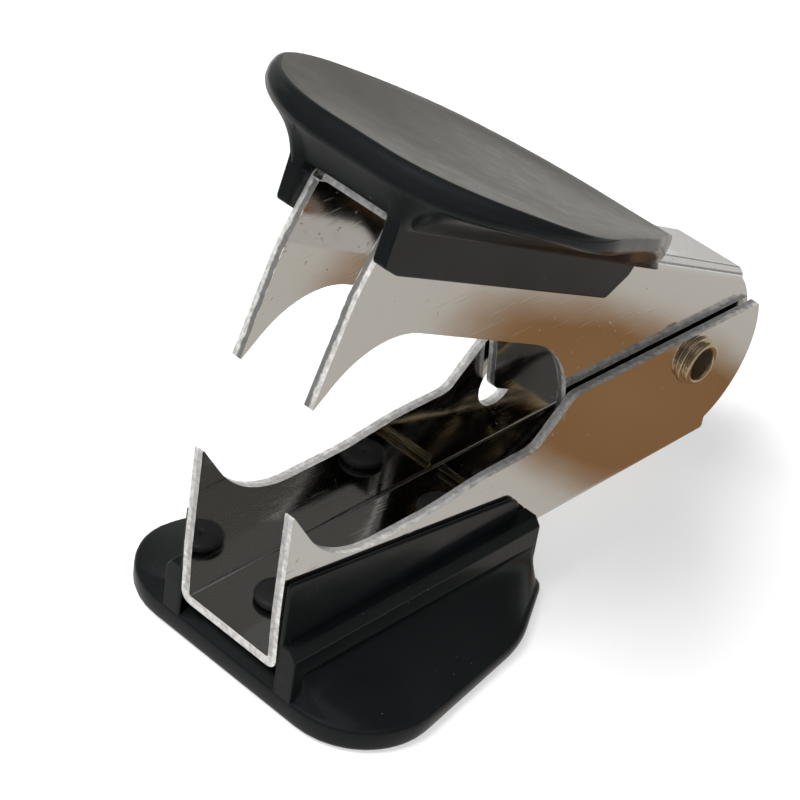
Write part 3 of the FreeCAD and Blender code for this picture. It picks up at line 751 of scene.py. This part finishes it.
# The rivet's ends as (radius, reach past the wall's face): a stepped barrel with a rolled lip on the
# near side, from its bore out and back to the wall, and a flat clinch on the far side.
RIVET_NEAR_END = [
    (1.60, 0.7), (1.61, 0.9), (1.68, 1.0), (1.83, 1.06), (2.0, 1.04), (2.14, 0.95), (2.2, 0.82),
    (2.2, 0.66), (2.14, 0.56), (2.04, 0.5), (2.02, 0.38), (2.12, 0.32), (2.32, 0.3), (2.42, 0.22),
    (2.45, 0.1), (2.44, 0.01), (1.88, 0.01),
]
RIVET_FAR_END = [
    (1.88, 0.01), (2.44, 0.01), (2.5, 0.2), (2.44, 0.42), (2.25, 0.6), (2.0, 0.68), (1.8, 0.62),
    (1.66, 0.42), (1.60, 0.1),
]
COIL_RADIUS = 2.75
COIL_TURNS = 7
COIL_STEP = math.radians(9)
WIRE_RADIUS = 0.36
LEG_SIDE = 3.0
LEG_BEND = 1.0
FOOT_X = -21.7
FOOT_OVERHANG = 4.1
FOOT_GAP = 0.02
HEAD_X = UPPER_REACH - 19.7
HEAD_GAP = 0.03


def make_rivet(plating):
    near = [(radius, -LOWER_WALL - reach) for radius, reach in RIVET_NEAR_END]
    far = [(radius, LOWER_WALL + reach) for radius, reach in RIVET_FAR_END]
    rivet = lathe("hollow_rivet", near + far, PIVOT, FARWARDS, REARWARDS, "lower", plating)
    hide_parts("pivot_rivet")


def coil_angle(point, side):
    """Where a straight leg from a point touches the coil, seen along the pivot."""
    away = point - PIVOT
    length = math.hypot(away.x, away.z)
    return math.atan2(away.z, away.x) + side * math.acos(COIL_RADIUS / length)


def make_spring(wire):
    """One leg's foot lies on the lower floor, the other's under the upper web, the coil between."""
    foot = lower_point(FOOT_X, 0, GAUGE + WIRE_RADIUS + FOOT_GAP)
    head = upper_point(HEAD_X, 0, -GAUGE - WIRE_RADIUS - HEAD_GAP)
    near_side = Vector((0, -LEG_SIDE, 0))
    far_side = Vector((0, LEG_SIDE, 0))

    first = coil_angle(foot, 1)
    last = coil_angle(head, -1)
    sweep = (last - first) % (2 * math.pi) + (COIL_TURNS - 1) * 2 * math.pi
    steps = int(sweep / COIL_STEP)
    coil_path = []
    for step in range(steps + 1):
        share = step / steps
        angle = first + sweep * share
        spoke = Vector((math.cos(angle), 0, math.sin(angle))) * COIL_RADIUS
        coil_path.append(PIVOT + spoke + near_side.lerp(far_side, share))
    coil = tube("spring_coil", coil_path, WIRE_RADIUS, None, wire)
    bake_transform(coil)
    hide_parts("torsion_spring")

    overhang = foot + Vector((0, FOOT_OVERHANG, 0))
    lower_path = rounded_path([overhang, foot + near_side, coil_path[0]], LEG_BEND)
    upper_path = rounded_path([coil_path[-1], head + far_side, head + near_side], LEG_BEND)
    lower_leg = tube("spring_lower_leg", lower_path, WIRE_RADIUS, "lower", wire)
    upper_leg = tube("spring_upper_leg", upper_path, WIRE_RADIUS, "upper", wire)


# ---------------------------------------------------------------- stage

FLOOR_SIZE = 900.0
FLOOR_BEND = 200.0
FLOOR_BEND_STEPS = 12
FLOOR_RISE = 500.0
FLOOR_DROP = 0.05

# What the bright metal mirrors: a warm patch beside the tool, on a light tabletop with a bright band
# around it and a dark room beyond. Distances are from the patch's centre.
PATCH_CENTRE = Vector((42.5, -17, 0))
PATCH_STRETCH = Vector((1, 0.91, 0))
PATCH_WOBBLE = 9.0
MIRROR_RANGE = 400.0
MIRRORED_FLOOR = [
    (0.0, (0.25, 0.135, 0.062, 1)),
    (11.0, (0.23, 0.12, 0.052, 1)),
    (14.4, (0.33, 0.25, 0.18, 1)),
    (18.0, (0.50, 0.47, 0.43, 1)),
    (40.0, (0.55, 0.53, 0.50, 1)),
    (108.0, (0.56, 0.56, 0.55, 1)),
    (120.0, (1.0, 1.0, 0.98, 1)),
    (168.0, (0.48, 0.47, 0.45, 1)),
    (208.0, (0.27, 0.27, 0.26, 1)),
]
# The mirrored floor is in shade in front of the tool, as (x, brightness).
SHADE_START = -110.0
SHADE_LENGTH = 200.0
MIRRORED_SHADE = [(-110.0, 0.16), (-66.0, 0.18), (-10.0, 1.0)]
# The mirrored room, by height in the sky: a light low horizon behind the tool, dim above it.
HORIZON_LEAN = Vector((-0.15, 0, 1))
MIRRORED_ROOM = [
    (0.0, (0.60, 0.60, 0.59, 1)),
    (0.12, (0.20, 0.20, 0.192, 1)),
    (0.36, (0.09, 0.09, 0.0864, 1)),
    (0.75, (0.08, 0.08, 0.0768, 1)),
    (1.0, (0.30, 0.32, 0.35, 1)),
]
BACKDROP_WHITE = (0.95, 0.95, 0.95, 1)
LIGHT_TARGET = Vector((0, 0, 20))


def floor_material():
    """Pale to the eye and to soft light, and patterned only where the metal mirrors it."""
    material, n = new_material("pale_floor")
    pale = n.mix(n.noise(0.02, detail=2), (0.46, 0.46, 0.46, 1), (0.48, 0.48, 0.48, 1))
    diffuse = n.add("BsdfDiffuse", Color=pale)
    glow = n.add("Emission", Color=pale, Strength=1.05)
    plain = n.join("AddShader", diffuse, glow)

    centre = PATCH_CENTRE * PATCH_STRETCH
    distance = n.vector_math("DISTANCE", n.place(PATCH_STRETCH), centre).outputs["Value"]
    noise = n.math("SUBTRACT", n.noise(0.07, detail=3), 0.5)
    wobbled = n.math("ADD", distance, n.math("MULTIPLY", noise, PATCH_WOBBLE))
    stops = [(reach / MIRROR_RANGE, colour) for reach, colour in MIRRORED_FLOOR]
    light = n.ramp(n.math("DIVIDE", wobbled, MIRROR_RANGE), stops)
    along = n.math("SUBTRACT", n.dot(n.place(), REARWARDS), SHADE_START)
    stops = [((x - SHADE_START) / SHADE_LENGTH, shade) for x, shade in MIRRORED_SHADE]
    shade = n.ramp(n.math("DIVIDE", along, SHADE_LENGTH), stops)
    mirrored_floor = n.add("Emission", Color=light, Strength=shade)

    is_mirrored = n.add("LightPath").outputs["Is Glossy Ray"]
    n.output(n.join("MixShader", plain, mirrored_floor, share=is_mirrored))
    return material


def make_floor():
    """A floor that bends up into a wall far behind the tool."""
    rows = [(-FLOOR_SIZE, 0.0)]
    for step in range(FLOOR_BEND_STEPS + 1):
        angle = math.pi / 2 * step / FLOOR_BEND_STEPS
        along = FLOOR_SIZE + FLOOR_BEND * math.sin(angle)
        rows.append((along, FLOOR_BEND * (1 - math.cos(angle))))
    rows.append((FLOOR_SIZE + FLOOR_BEND, FLOOR_RISE))
    sides = (-2 * FLOOR_SIZE, 2 * FLOOR_SIZE)
    points = [Vector((side, along, height)) for along, height in rows for side in sides]
    faces = [(2 * i, 2 * i + 1, 2 * i + 3, 2 * i + 2) for i in range(len(rows) - 1)]
    floor = make_piece("studio_floor", points, faces, None, floor_material())
    floor.location.z = CAD_BOX[0][2] - FLOOR_DROP * MM


def area_light(name, place, size, power, colour):
    """A softbox aimed at the middle of the tool. The metal doesn't mirror it."""
    data = bpy.data.lights.new(name, "AREA")
    data.shape = "RECTANGLE"
    data.size = size[0] * MM
    data.size_y = size[1] * MM
    data.energy = power
    data.color = colour
    lamp = bpy.data.objects.new(name, data)
    bpy.context.scene.collection.objects.link(lamp)
    aim = LIGHT_TARGET - Vector(place)
    lamp.location = Vector(place) * MM
    lamp.rotation_euler = aim.to_track_quat("-Z", "Y").to_euler()
    lamp.visible_glossy = False


def make_lights():
    area_light("key_softbox", (-160, 120, 420), (320, 260), 4.2, (1.0, 0.99, 0.97))
    area_light("fill_softbox", (-260, -320, 220), (300, 200), 1.2, (0.97, 0.98, 1.0))


def make_world():
    """A dim room for mirrors and soft light, and plain white to the camera."""
    world = bpy.data.worlds.new("studio")
    bpy.context.scene.world = world
    world.use_nodes = True
    n = Nodes(world.node_tree)
    direction = n.add("TexCoord").outputs["Generated"]
    room = n.add("Background", Color=n.ramp(n.dot(direction, HORIZON_LEAN), MIRRORED_ROOM))
    backdrop = n.add("Background", Color=BACKDROP_WHITE)
    is_seen = n.add("LightPath").outputs["Is Camera Ray"]
    n.output(n.join("MixShader", room, backdrop, share=is_seen), kind="OutputWorld")


CAMERA_AZIMUTH = math.radians(-50.72)
CAMERA_ELEVATION = math.radians(35.883)
CAMERA_ROLL = math.radians(9.196)
CAMERA_DISTANCE = 242.339
CAMERA_SHIFT = (-9.162, -1.051)
CAMERA_AIM = PIVOT + Vector((-20.0, 0, 1.8))
CAMERA_LENS = 124.24
CAMERA_SENSOR = 36.0
CAMERA_CLIP = 10.0


def make_camera():
    """The view: about 51 degrees round to the front left, 36 degrees up, rolled 9 degrees."""
    level = math.cos(CAMERA_ELEVATION)
    back = Vector((
        math.sin(CAMERA_AZIMUTH) * level,
        -math.cos(CAMERA_AZIMUTH) * level,
        math.sin(CAMERA_ELEVATION),
    ))
    right = UPWARDS.cross(back).normalized()
    up = back.cross(right)
    rolled_right = right * math.cos(CAMERA_ROLL) + up * math.sin(CAMERA_ROLL)
    rolled_up = up * math.cos(CAMERA_ROLL) - right * math.sin(CAMERA_ROLL)
    shift = rolled_right * CAMERA_SHIFT[0] + rolled_up * CAMERA_SHIFT[1]
    place = CAMERA_AIM + shift + back * CAMERA_DISTANCE
    data = bpy.data.cameras.new("camera")
    data.sensor_width = CAMERA_SENSOR
    data.lens = CAMERA_LENS
    data.clip_start = CAMERA_CLIP * MM
    camera = bpy.data.objects.new("camera", data)
    bpy.context.scene.collection.objects.link(camera)
    turn = Matrix((rolled_right, rolled_up, back)).transposed().to_4x4()
    turn.translation = place * MM
    camera.matrix_world = turn
    bpy.context.scene.camera = camera


# ---------------------------------------------------------------- the scene

CHROME_TINT = (0.82, 0.81, 0.79, 1)
RIVET_TINT = (0.60, 0.47, 0.31, 1)
GLOSS_BLACK = (0.0035, 0.0042, 0.0045, 1)
SATIN_GREY = (0.040, 0.038, 0.033, 1)
STAKE_BLACK = (0.010, 0.010, 0.011, 1)
# How far past the sheet's inner face each jaw's sheared edges begin.
LOWER_EDGE_START = 0.35
UPPER_EDGE_START = 0.3

gloss_black = moulded_plastic("gloss_black_plastic", GLOSS_BLACK, 0.14, 0.26, 0.008, specular=0.26)
satin_grey = moulded_plastic("satin_dish_plastic", SATIN_GREY, 0.26, 0.34, 0.003, specular=0.18)
stake_black = moulded_plastic("spread_stake_plastic", STAKE_BLACK, 0.25, 0.4, 0.02)

# Each jaw's inner edge band is darkened by its own amount, more on the upper jaw: painted shade as
# well as the tear.
lower_edges = CutEdges(
    opening=UPWARDS,
    start=SEAT + GAUGE + LOWER_EDGE_START,
    front=-REARWARDS,
    wall=LOWER_WALL,
    darkness=0.4,
)
upper_edges = CutEdges(
    opening=-WEB_OUT,
    start=GAUGE + UPPER_EDGE_START - WEB_FRONT.dot(WEB_OUT),
    front=-WEB_ALONG,
    wall=UPPER_WALL,
    darkness=0.85,
)
jaw_platings = {
    "lower_jaw": chrome("lower_jaw_plating", CHROME_TINT, cut_edges=lower_edges),
    "upper_jaw": chrome("upper_jaw_plating", CHROME_TINT, cut_edges=upper_edges),
}
for node, plating in jaw_platings.items():
    jaw = frame["nodes"][node]
    jaw.data.materials.clear()
    jaw.data.materials.append(plating)

make_thumb_pad(gloss_black, satin_grey)
make_pad_skirts(gloss_black)
make_desk_base(gloss_black)
make_cheeks_and_skirts(gloss_black)
make_stakes(stake_black)
make_rivet(chrome("rivet_plating", RIVET_TINT, metal=0.92))
make_spring(drawn_wire("spring_wire"))
make_floor()
make_lights()
make_world()
make_camera()
bpy.context.scene.view_settings.view_transform = "Standard"
